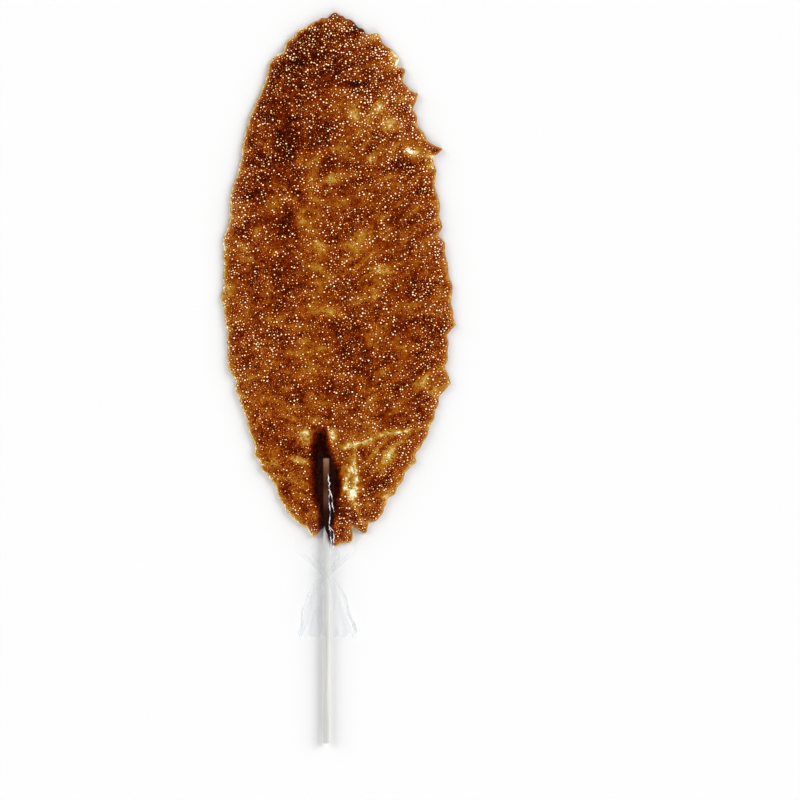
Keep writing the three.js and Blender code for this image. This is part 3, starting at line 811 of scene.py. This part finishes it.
bubbleLook = {
    "tries": 31000,
    "seed": 11,
    "spacing": 1.1,
    "core": (0.20, 0.435),  # least and most radius of the bright middle
    "coreSpread": (1.05, 1.6),  # how the sizes between them are shared out
    "squash": (0.75, 1.0),
    "glow": (0.68, 2.2, 0.18),  # of the smallest, how it grows with the radius, and its scatter
    "glowEnds": (0.5, 1.25),
    "rims": (2.0, 3.7),  # where the dark rim begins and ends, in radii of the middle
    "rimShade": (0.9, 0.95),  # painted shade of the dark ring: how much deeper the amber is drawn there, and the depth that it comes near
    "coreEdge": 0.72,  # how bright the middle still is at its edge
    "rimGlow": 0.2,
    "height": 0.35,  # as a share of the middle's radius
    "profile": (0.7, 0.3),  # heights at the middle's edge and at the dark rim, as shares of that
    "sunk": 0.012,  # the outermost ring under the face
    "sides": 5,
    "keepFromRim": 1.2,
    "rimGap": 0.25,  # least distance of their own rims from it
    "crowd": 0.42,  # usual share of the tried places that are taken
    "crowding": (15.0, 0.26),  # breadth of the crowds, and how much denser they are
    "rimCrowd": (20.0, 0.45),  # the same of the band along the rim
    # middle, half sizes and density of the largest crowds
    "crowds": [
        ((34, 98), 34, 52, 0.42), ((0, 142), 44, 30, 0.25), ((-44, -70), 18, 60, 0.25),
        ((54, -10), 16, 70, 0.2),
    ],
    "moundEdge": 0.2,  # none where the dark mound is stronger than this
    "palePlaces": (0.3, 5.0, 0.96),  # paler than this they grow few: how fast, and how many are left out
    "deepPlaces": (0.66, 3.0, 0.45),  # the same of the places that look deeper than this
    # middle, half sizes and amount of the places where they shine more or less
    "shine": [((20, 125), 62, 66, 0.14), ((-38, -95), 40, 70, -0.26)],
    "shineSize": 0.4,  # how much larger they are there
    "roughness": 0.24,
    "specular": 0.1,
    "coat": 0.05,
    "coatRoughness": 0.06,
    # painted glints, from the dimmest to the brightest middle
    "colours": [(0.4, srgb(200, 88, 20)), (0.54, srgb(246, 134, 54)), (0.68, srgb(255, 189, 109)),
                (0.82, srgb(255, 226, 171)), (1.0, srgb(255, 250, 226))],
    "blend": (0.40, 0.60),  # below this the rim melts into the amber
}

fizzLook = {  # finer, dimmer bubbles between them, with their glints painted in too
    "tries": 40000,
    "seed": 23,
    "spacing": 0.75,
    "core": (0.16, 0.30),
    "glow": (0.46, 0.62),
    "height": 0.3,
    "lift": 0.02,  # of their rims
    "sides": 5,
}


# Sum of soft oval patches at each place
def ovals(x, y, patches):
    total = np.zeros(len(x))
    for (cx, cy), halfAcross, halfAlong, amount in patches:
        total += amount * bell(np.hypot((x - cx) / halfAcross, (y - cy) / halfAlong))
    return total


# Rings of points round the places, raised from the candy's face
def ringsRound(places, turns, halfAcross, halfAlong, raised, surface):
    x = places[:, 0, None] + halfAcross[:, None] * np.cos(turns)
    y = places[:, 1, None] + halfAlong[:, None] * np.sin(turns)
    return np.stack([x, y, faceUnder(surface, x, y) + np.reshape(raised, (-1, 1))], -1)


def bubbleMaterial(toneGroup, grainGroup):
    material, tree = newMaterial("candyBubble")
    # each bubble's glint is painted into its colour from the glow value
    glow = pointValue(tree, "glow")
    tone = addNode(tree, "ShaderNodeGroup", {"Depth": pointValue(tree, "depth")}, node_tree=toneGroup)
    inside = addRange(tree, glow, *bubbleLook["blend"])
    colour = addMix(tree, inside, tone.outputs["Color"], addRamp(tree, glow, bubbleLook["colours"]))
    shader = addSurface(tree, grainGroup, bubbleLook, colour, bubbleLook["coat"])
    addNode(tree, "ShaderNodeOutputMaterial", {"Surface": shader})
    return material


def nearestRim(points, edge):
    best = np.full(len(points), 1e9)
    for part in np.array_split(np.arange(len(edge)), 20):
        gaps = points[:, None, :] - edge[None, part, :]
        best = np.minimum(best, np.hypot(gaps[..., 0], gaps[..., 1]).min(1))
    return best


def insideRim(points, edge):
    x, y = points.T
    inside = np.zeros(len(points), bool)
    for (ax, ay), (bx, by) in zip(edge, np.roll(edge, -1, axis=0)):
        crosses = (ay > y) != (by > y)
        if ay != by:
            inside ^= crosses & (x < ax + (y - ay) * (bx - ax) / (by - ay))
    return inside


# Which of the places keep their distance from the ones before them
def spacedOut(places, spacing, taken=()):
    cells = {}
    kept = []
    for index, (x, y) in enumerate([*taken, *places]):
        i, j = int(x // spacing), int(y // spacing)
        near = [p for a in (i - 1, i, i + 1) for b in (j - 1, j, j + 1) for p in cells.get((a, b), ())]
        isTaken = index < len(taken)
        if isTaken or all(math.hypot(x - px, y - py) >= spacing for px, py in near):
            cells.setdefault((i, j), []).append((x, y))
            if not isTaken:
                kept.append(index - len(taken))
    return kept


# Places for bubbles: in loose crowds, none in the dark mound and few on pale and deep places
def bubblePlaces(rng, kind, taken=()):
    look = bubbleLook
    edge = rimOutline()
    low, high = edge.min(0), edge.max(0)
    tried = rng.uniform(low, high, (kind["tries"], 2))
    tried = tried[insideRim(tried, edge)]
    fromRim = nearestRim(tried, edge)
    x, y = tried.T
    breadth, swing = look["crowding"]
    band, more = look["rimCrowd"]
    crowd = look["crowd"] + swing * swirls(x / breadth, y / breadth) + more * bell(fromRim / band)
    crowd = np.where(moundMask(x, y) > look["moundEdge"], 0, crowd + ovals(x, y, look["crowds"]))
    depth = depthAt(x, y, fromRim + amberDepth["rimFade"])
    limit, speed, most = look["palePlaces"]
    pale = np.clip((limit - depth) * speed, 0, most)
    limit, speed, most = look["deepPlaces"]
    deep = np.clip((depth - limit) * speed, 0, most)
    keep = (rng.random(len(x)) < crowd * (1 - pale) * (1 - deep)) & (fromRim > look["keepFromRim"])
    places, fromRim = tried[keep], fromRim[keep]
    kept = spacedOut(places, kind["spacing"], taken)
    return places[kept], fromRim[kept]


def buildBubbles(material, surface):
    look = bubbleLook
    rng = np.random.default_rng(look["seed"])
    places, fromRim = bubblePlaces(rng, look)
    count = len(places)
    smallest, largest = look["core"]
    core = smallest + (largest - smallest) * rng.beta(*look["coreSpread"], count)
    dimmest, growth, scatter = look["glow"]
    glow = dimmest + growth * (core - smallest) + scatter * rng.standard_normal(count)
    shine = ovals(*places.T, look["shine"])
    glow = np.clip(glow + shine, *look["glowEnds"])
    core *= 1 + look["shineSize"] * shine
    sides = look["sides"]
    turns = 2 * np.pi * np.arange(sides) / sides + rng.uniform(0, 2 * np.pi, (count, 1))
    squash = rng.uniform(*look["squash"], count)
    lift = look["height"] * core
    top = np.column_stack([places, faceUnder(surface, *places.T) + lift])
    inner, outer = look["rims"]
    widest = np.minimum(core * outer, fromRim - look["rimGap"])
    edgeRise, rimRise = look["profile"]
    rings = [(core, edgeRise * lift), (core * inner, rimRise * lift), (widest, -look["sunk"])]
    points, faces = domes(top, [
        ringsRound(places, turns, radius, radius * squash, raised, surface) for radius, raised in rings
    ])
    piece = newPiece("candyBubbles", points, faces, material)
    middleEnd, rimStart, rimEnd = 1, 1 + sides, 1 + 2 * sides  # among the points of one bubble
    glows = np.zeros((count, rimEnd + sides))
    glows[:, :middleEnd] = glow[:, None]
    glows[:, middleEnd:rimStart] = look["coreEdge"] * glow[:, None]
    glows[:, rimStart:rimEnd] = look["rimGlow"]
    depth = depthAt(places[:, 0], places[:, 1], fromRim)[:, None] + np.zeros(rimEnd + sides)
    # the dark ring round each bubble is painted shade, drawn as deeper amber
    amount, darkest = look["rimShade"]
    depth[:, :rimEnd] += amount * depth[:, :1] * np.clip(darkest - depth[:, :1], 0, 1)
    addAttribute(piece, "depth", depth.reshape(-1))
    addAttribute(piece, "glow", glows.reshape(-1))
    print("bubbles:", count)
    return places


def buildFizz(material, surface, taken):
    look = fizzLook
    rng = np.random.default_rng(look["seed"])
    places, fromRim = bubblePlaces(rng, look, taken)
    count, sides = len(places), look["sides"]
    core = rng.uniform(*look["core"], count)
    glow = rng.uniform(*look["glow"], count)
    turns = 2 * np.pi * (np.arange(sides) / sides + rng.random((count, 1)))
    top = np.column_stack([places, faceUnder(surface, *places.T) + look["height"] * core])
    points, faces = domes(top, [ringsRound(places, turns, core, core, look["lift"], surface)])
    piece = newPiece("candyFizz", points, faces, material)
    addAttribute(piece, "depth", np.repeat(depthAt(places[:, 0], places[:, 1], fromRim), sides + 1))
    addAttribute(piece, "glow", np.repeat(glow, sides + 1))
    print("fizz:", count)


# Creases: thin pale lines over the candy, painted highlights where the wrapping film is wrinkled

wrinkleGlintLook = {
    "step": 0.3,
    "wander": (2.4, 0.5),  # length and reach of their bends
    "uneven": (3.0, 1.2, 0.15),  # length, swing and lack of their pale and dim stretches
    "fade": 2.0,  # length of their fading ends
    "endWidth": 0.4,  # there, as a share
    "widthGrowth": (0.6, 0.5),  # width of a dim stretch, and how much wider a pale one is
    "widthEnds": (0.5, 1.4),
    "paleEnds": (0.2, 1.25),
    "palest": 0.02,
    # place across in half widths, height over the face, share of the paleness
    "section": [(-1.0, -0.03, 0), (-0.3, 0.12, 1), (0.3, 0.12, 1), (1.0, -0.03, 0)],
    # points, half width and paleness, the strength of the painted highlight
    "lines": [
        ([(5.4, -83.3), (8.0, -82.7), (10.7, -81.8), (12.6, -80.7), (15.2, -80.2), (19.7, -78.4),
          (24.2, -76.6), (30.9, -75.2), (37.7, -74.3), (42.2, -73.2)], 0.7, 0.09),
        ([(6.0, -82.4), (9.0, -81.2), (12.0, -81.6)], 1.4, 0.14),
        ([(10.9, -81.6), (11.6, -87.0), (10.6, -92.0), (11.8, -96.5), (12.4, -101.0), (11.4, -106.0),
          (12.2, -112.0)], 0.75, 0.09),
        ([(5.2, -93.8), (8.0, -92.6), (10.2, -94.4)], 0.9, 0.08),
        ([(6.6, -100.0), (6.0, -103.6), (7.0, -106.8)], 1.1, 0.05),
        ([(9.4, -103.0), (9.8, -107.0), (9.2, -111.0), (10.8, -114.0)], 1.6, 0.03),
        ([(12.6, -114.5), (13.2, -119.3), (13.0, -123.0), (15.6, -127.0), (18.0, -128.0)], 0.8, 0.12),
    ],
}


def wrinkleGlintStrip(route, halfWidth, paleness, surface):
    look = wrinkleGlintLook
    at, flat = alongRoute(route, look["step"])
    startX, startY = route[0]
    slope = np.gradient(flat, axis=0)
    aside = np.column_stack([-slope[:, 1], slope[:, 0]]) / np.hypot(*slope.T)[:, None]
    length, reach = look["wander"]
    flat = flat + aside * (reach * swirls(at / length, np.full_like(at, startY)))[:, None]
    length, swing, lack = look["uneven"]
    patchy = 1 + swing * (swirls(at / length + 7, np.full_like(at, startX)) - lack)
    ends = smoothStep(np.minimum(at, at[-1] - at), 0, look["fade"])
    dim, growth = look["widthGrowth"]
    width = halfWidth * (look["endWidth"] + (1 - look["endWidth"]) * ends)
    width *= np.clip(dim + growth * patchy, *look["widthEnds"])
    rows, pale = [], []
    for offset, lift, share in look["section"]:
        row = flat + aside * (offset * width)[:, None]
        rows.append(np.column_stack([row, faceUnder(surface, *row.T) + lift]))
        pale.append(share * paleness * ends * np.clip(patchy, *look["paleEnds"]))
    return np.concatenate(rows), ringFaces(len(rows), len(at), closed=False), np.concatenate(pale)


def buildWrinkleGlints(material, surface):
    points, faces, pale = joined([wrinkleGlintStrip(*line, surface) for line in wrinkleGlintLook["lines"]])
    piece = newPiece("candyWrinkleGlints", points, faces, material)
    depth = depthAt(points[:, 0], points[:, 1], nearestRim(points[:, :2], rimOutline()))
    addAttribute(piece, "depth", np.clip(depth - pale, wrinkleGlintLook["palest"], 1))
    print("creases:", len(faces), "faces")


# The stick: a smooth white rod with softly rounded ends

stickLook = {
    "sides": 48,
    "lengths": 8,
    "rounding": 0.45,
    "roundingTurns": (0, 30, 60, 90),
    "white": [(0.3, srgb(186, 186, 183)), (0.7, srgb(204, 203, 199))],
    "streakScale": (900.0, 25.0, 900.0),
    "streakDetail": 2.0,
    "roughness": 0.38,
    "specular": 0.4,
    "bump": (0.1, 0.0001),
}


def stickMaterial(grainGroup):
    material, tree = newMaterial("whiteStick")
    inputs = {"Vector": objectPlace(tree), "Scale": stickLook["streakScale"]}
    drawn = addNode(tree, "ShaderNodeMapping", inputs).outputs["Vector"]
    streaks = addNoise(tree, drawn, 1.0, stickLook["streakDetail"])
    shader = addSurface(tree, grainGroup, stickLook, addRamp(tree, streaks, stickLook["white"]))
    addNode(tree, "ShaderNodeOutputMaterial", {"Surface": shader})
    return material


def buildStick(material):
    sides, rounding = stickLook["sides"], stickLook["rounding"]
    turns = 2 * np.pi * np.arange(sides) / sides
    low, high = stickTop - stickLength, stickTop
    bends = np.radians(stickLook["roundingTurns"])
    ends = [(stickRadius - rounding * (1 - math.sin(a)), rounding * (1 - math.cos(a))) for a in bends]
    profile = [(radius, low + inset) for radius, inset in ends]
    lengths = stickLook["lengths"]
    profile += [(stickRadius, low + stickLength * k / lengths) for k in range(1, lengths)]
    profile += [(radius, high - inset) for radius, inset in reversed(ends)]
    rings = []
    for radius, y in profile:
        x, z = stickX + radius * np.cos(turns), stickAxisHeight - radius * np.sin(turns)
        rings.append(np.column_stack([x, np.full(sides, y), z]))
    points = np.concatenate(rings)
    faces = ringFaces(len(rings), sides)
    last = (len(rings) - 1) * sides
    faces += [list(range(sides))[::-1], list(range(last, last + sides))]
    piece = newPiece("candyStick", points, faces, material)
    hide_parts("stick")
    print("stick:", len(faces), "faces")


# The film: gathered on the stick, drawn up over the candy's lower end, with bright folds beside the stick;
# its highlights and its grey shade are painted into its colour

filmLook = {
    "top": -139.2,
    "neck": -156.0,
    "end": -192.0,
    "topHalfWidth": 19.0,
    "topCrest": 2.6,
    "neckRadius": 2.5,
    "endHalfWidth": 19.5,
    "endCrest": 7.5,
    "floorGap": 0.2,
    "topSpread": 0.6,  # how loosely the film hangs at its top, as a share of its end
    "creases": [(3.2, 0.55), (6.5, 0.3), (11.0, 0.15)],  # count round the stick, and share
    "creaseDepth": 0.3,
    "sidePuff": 0.3,  # how much of it shows across
    "creaseDrift": 0.045,
    "creaseWidth": 0.10,
    "creaseHighlight": (0.30, 0.25),  # painted highlight of the creases, and how much brighter it is at the neck
    "neckWidening": 1.5,  # how much wider they are there, where the folds lie close
    "neckSpread": (0.05, 0.6),  # looseness between which the neck ends
    "streaks": (6.0, 7.0, 0.9),  # count round the stick, length and contrast of their clear stretches
    "facets": (3.0, 30.0, 0.2),  # count round the stick, length and most painted grey shade of the film between them
    "facetEdge": (-0.15, 0.3),
    "clearTop": (0.5, 11.0),  # below its top, where the film clears towards the candy
    "sideWander": (13.0, 0.16),  # length and amount of the sides' unevenness
    "ragged": (5.0, 7.0),  # count round the stick and length of the tongues at the end
    "steps": 320,
    "stations": 70,
    "upTo": -100.0,  # where the film over the candy fades out
    "ontoCandy": -124.0,
    "rows": 60,
    "lift": 0.35,
    "ruffle": (0.45, 0.98),  # height of the ruffles over the candy, and how near its rim they reach
    "lowerRim": -60.0,  # below this line is the rim that the film is drawn over
    "rimInset": 0.4,
    "besideHeight": 1.6,  # over the table, beside the candy
    "overHighlight": (0.2, 1.5),  # painted highlight of the creases over the candy, and how fast it fades
    # points, width and whiteness of the bright folds, painted highlights of the film's creases
    "folds": [
        ([(-3.6, -97.4), (-3.5, -101.1), (-2.9, -103.2), (-3.2, -105.8), (-2.4, -107.8), (-1.7, -109.9),
          (-1.3, -112.5), (-1.4, -114.6), (-0.8, -117.2), (-0.2, -119.0)], 0.6, 0.95),
        ([(-2.6, -107.4), (-2.9, -109.9), (-3.2, -112.5), (-2.4, -119.3), (-2.9, -124.5), (-3.2, -127.1),
          (-2.4, -130.2), (-2.2, -133.9), (-1.9, -136.5), (-2.4, -141.0)], 0.5, 0.9),
        ([(-3.0, -127.1), (-0.8, -129.7), (-0.5, -132.3), (-0.8, -137.0), (-1.4, -141.5)], 0.55, 0.95),
        ([(-1.8, -138.4), (-0.2, -140.0), (0.9, -139.4), (1.8, -141.8), (0.4, -143.6), (-1.2, -142.8)],
         0.8, 0.5),
        ([(0.2, -141.0), (2.6, -143.2), (2.0, -146.0), (-0.6, -148.5)], 0.5, 0.4),
    ],
    "foldStep": 0.6,
    "foldJitter": 0.16,
    "foldTaper": (2.0, 0.25),  # length of their ends, and the width there
    "foldWidths": (0.6, 1.15),
    "foldSection": [(-0.5, 0.3), (0.0, 0.75), (0.5, 0.3)],  # place across and height
    "foldRest": 0.8,  # their height off the candy, in radii over the stick's axis
    "foldGaps": (2.6, 0.75),  # length and amount of the clear stretches in them
    "foldGapEdge": (-0.1, 0.35),
    "foldSeed": 5,
    "cover": 0.002,  # of the film where it lies flat
    "rimSheen": (0.3, 4.0, 0.34),  # blend, power and amount
    # the film's colour: painted grey shade on its facets, rising to painted white highlights along its
    # creases
    "shadeToHighlight": [(0.0, srgb(172, 177, 184)), (0.6, srgb(204, 208, 213)), (0.85, srgb(248, 249, 250))],
    "roughness": 0.12,
    "specular": 0.6,
}


def filmMaterial(grainGroup):
    material, tree = newMaterial("clearFilm")
    # fold carries the film's painted shade and painted highlights
    fold = pointValue(tree, "fold")
    blend, power, amount = filmLook["rimSheen"]
    facing = addNode(tree, "ShaderNodeLayerWeight", {"Blend": blend}).outputs["Facing"]
    sheen = addMath(tree, "MULTIPLY", addMath(tree, "POWER", facing, power), amount)
    covered = addMath(tree, "ADD", addMath(tree, "ADD", sheen, filmLook["cover"]), fold, clamp=True)
    mixed = addNode(tree, "ShaderNodeMixShader", {
        "Fac": addMath(tree, "MULTIPLY", covered, pointValue(tree, "fade")),
        1: addNode(tree, "ShaderNodeBsdfTransparent").outputs[0],
        2: addSurface(tree, grainGroup, filmLook, addRamp(tree, fold, filmLook["shadeToHighlight"])),
    })
    addNode(tree, "ShaderNodeOutputMaterial", {"Surface": mixed.outputs[0]})
    return material


# Nought along the film's creases, which run up and down the stick, and rising between them
def creasePattern(turn, y):
    pattern = np.zeros_like(turn)
    drift = filmLook["creaseDrift"] * y
    for count, share in filmLook["creases"]:
        u, v = count * np.cos(turn) + 20 + drift, count * np.sin(turn) + 40 - drift
        pattern += share * np.abs(swirls(u, v))
    return pattern


# One ring of the film round the stick, flat on the table below and creased above
def filmRing(y, turn):
    look = filmLook
    toTop = smoothStep(np.float64(y), look["neck"], look["top"])
    flare = math.sqrt(min(max((look["neck"] - y) / (look["neck"] - look["end"]), 0), 1))
    cone = toTop * (look["topHalfWidth"] - look["neckRadius"])
    halfWidth = look["neckRadius"] + cone + flare * (look["endHalfWidth"] - look["neckRadius"])
    rise = toTop * (look["topCrest"] - look["neckRadius"]) + flare * (look["endCrest"] - look["neckRadius"])
    crest = look["neckRadius"] + rise
    sag = stickAxisHeight - look["floorGap"]
    spread = max(flare, look["topSpread"] * toTop)
    pleat = creasePattern(turn, y)
    puff = look["creaseDepth"] * spread * (2 * pleat - 1)
    length, amount = look["sideWander"]
    side, up = np.cos(turn), np.sin(turn)
    drawnIn = amount * spread * np.abs(side) * (1 - swirls(2 * side + 50, np.full_like(turn, y / length)))
    z = np.where(up > 0, crest * up * (1 + puff), sag * up)
    x = stickX + halfWidth * side * (1 + look["sidePuff"] * puff - drawnIn)
    return np.column_stack([x, np.full(len(turn), y), stickAxisHeight + z]), pleat, spread


def filmTube():
    look = filmLook
    turn = 2 * np.pi * np.arange(look["steps"]) / look["steps"]
    tongues, tongueLength = look["ragged"]
    streaks, streakLength, contrast = look["streaks"]
    facets, facetLength, facetShade = look["facets"]
    white, whiter = look["creaseHighlight"]

    def roundStick(count, shift, along):
        return swirls(count * np.cos(turn) + shift, count * np.sin(turn) + along)

    rings, folds = [], []
    for y in np.linspace(look["end"], look["top"], look["stations"]):
        ring, pleat, spread = filmRing(y, turn)
        ragged = tongueLength * smoothStep(-y, -look["neck"], -look["end"])
        ring[:, 1] += ragged * (1 + roundStick(tongues, 20, 0)) / 2
        rings.append(ring)
        streaky = np.clip(0.5 + contrast * roundStick(streaks, 70, y / streakLength), 0, 1)
        gathered = 1 - smoothStep(np.float64(spread), *look["neckSpread"])
        width = look["creaseWidth"] * (1 + look["neckWidening"] * gathered)
        facet = smoothStep(roundStick(facets, 90, y / facetLength), *look["facetEdge"])
        facet *= smoothStep(look["top"] - y, *look["clearTop"])
        # white along the creases is painted highlight, grey on the facets is painted shade
        fold = (white + whiter * gathered) * streaky * np.clip(1 - pleat / width, 0, 1)
        folds.append(np.maximum(fold, facetShade * facet))
    faces = [face[::-1] for face in ringFaces(len(rings), look["steps"])]
    folds = np.concatenate(folds)
    return np.concatenate(rings), faces, folds, np.ones_like(folds)


def filmOverCandy(edge, surface):
    look = filmLook
    columns = look["steps"] // 2 + 1
    turn = np.pi * np.arange(columns) / (columns - 1)
    start, pleat, _ = filmRing(look["top"], turn)
    across = np.cos(turn)
    ruffle, reach = look["ruffle"]
    white, fading = look["overHighlight"]
    lower = edge[edge[:, 1] < look["lowerRim"]]
    left, right = lower[lower[:, 0] < stickX], lower[lower[:, 0] > stickX]
    left, right = left[np.argsort(left[:, 1])], right[np.argsort(right[:, 1])]
    rows, folds, fades = [], [], []
    for y in np.linspace(look["top"], look["upTo"], look["rows"]):
        level = max(y, look["ontoCandy"])
        rimLeft = np.interp(level, left[:, 1], left[:, 0]) + look["rimInset"]
        rimRight = np.interp(level, right[:, 1], right[:, 0]) - look["rimInset"]
        onto = smoothStep(np.float64(y), look["top"], look["ontoCandy"])
        x = (rimLeft + rimRight) / 2 + (rimRight - rimLeft) / 2 * across
        x = start[:, 0] * (1 - onto) + x * onto
        flat = np.column_stack([x, np.full(columns, y)])
        settled = faceUnder(surface, *flat.T) + look["lift"]
        near = 1 - smoothStep(np.float64(y), look["top"], look["upTo"])
        settled += ruffle * near * pleat * bell(across * reach)
        beside = start[:, 2] * (1 - onto) + look["besideHeight"] * onto
        rows.append(np.column_stack([flat, np.where(insideRim(flat, edge), settled, beside)]))
        folds.append(white * np.clip(1 - pleat / look["creaseWidth"], 0, 1) * near ** fading)
        fades.append(np.full(columns, near))
    faces = ringFaces(len(rows), columns, closed=False)
    return np.concatenate(rows), faces, np.concatenate(folds), np.concatenate(fades)


def filmFold(route, width, whiteness, edge, surface, rng):
    look = filmLook
    at, flat = alongRoute(route, look["foldStep"])
    flat[:, 0] += look["foldJitter"] * rng.standard_normal(len(at))
    x, y = flat.T
    ending, narrowest = look["foldTaper"]
    taper = np.clip(np.minimum(at, at[-1] - at) / ending, narrowest, 1)
    taper *= rng.uniform(*look["foldWidths"], len(at))
    offCandy = stickAxisHeight + stickRadius * look["foldRest"]
    face = np.where(insideRim(flat, edge), faceUnder(surface, x, y), offCandy)
    rows = []
    for offset, lift in look["foldSection"]:
        rows.append(np.column_stack([x + offset * width * taper, y, face + lift * (1 + taper) / 2]))
    length, amount = look["foldGaps"]
    gaps = smoothStep(swirls(at / length + 31 * width, np.full_like(at, route[0][1])), *look["foldGapEdge"])
    folds = np.tile(whiteness * (1 - amount * gaps), len(rows))
    return np.concatenate(rows), ringFaces(len(rows), len(at), closed=False), folds, np.ones_like(folds)


def buildFilm(material, surface):
    edge = rimOutline()
    rng = np.random.default_rng(filmLook["foldSeed"])
    parts = [filmTube(), filmOverCandy(edge, surface)]
    parts += [filmFold(*fold, edge, surface, rng) for fold in filmLook["folds"]]
    points, faces, folds, fades = joined(parts)
    piece = newPiece("wrapFilm", points, faces, material)
    addAttribute(piece, "fold", folds)
    addAttribute(piece, "fade", fades)
    piece.visible_shadow = False  # a film so thin casts none
    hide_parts("film")
    print("film:", len(faces), "faces")


# Fine unevenness that all the materials share

grainLook = {
    "sockets": [("Roughness", 0.3), ("Variation", 0.12), ("Scale", 700.0)],
    "detail": 3.0,
}


def grainFinish():
    group, into, out = newGroup("fineGrain", grainLook["sockets"], ["Roughness", "Height"])
    noise = addNoise(group, objectPlace(group), into.outputs["Scale"], grainLook["detail"])
    centred = addMath(group, "SUBTRACT", noise, noiseMiddle)
    change = addMath(group, "MULTIPLY", centred, into.outputs["Variation"])
    rough = addMath(group, "ADD", into.outputs["Roughness"], change, clamp=True)
    group.links.new(rough, out.inputs["Roughness"])
    group.links.new(noise, out.inputs["Height"])
    return group


# Make everything

buildStudio()
grainGroup = grainFinish()
toneGroup = amberTone()
amberFinish = candyMaterial(toneGroup, grainGroup)
surface = buildCandy(amberFinish)
bubbleFinish = bubbleMaterial(toneGroup, grainGroup)
buildFizz(bubbleFinish, surface, buildBubbles(bubbleFinish, surface))
buildWrinkleGlints(amberFinish, surface)
buildStick(stickMaterial(grainGroup))
buildFilm(filmMaterial(grainGroup), surface)
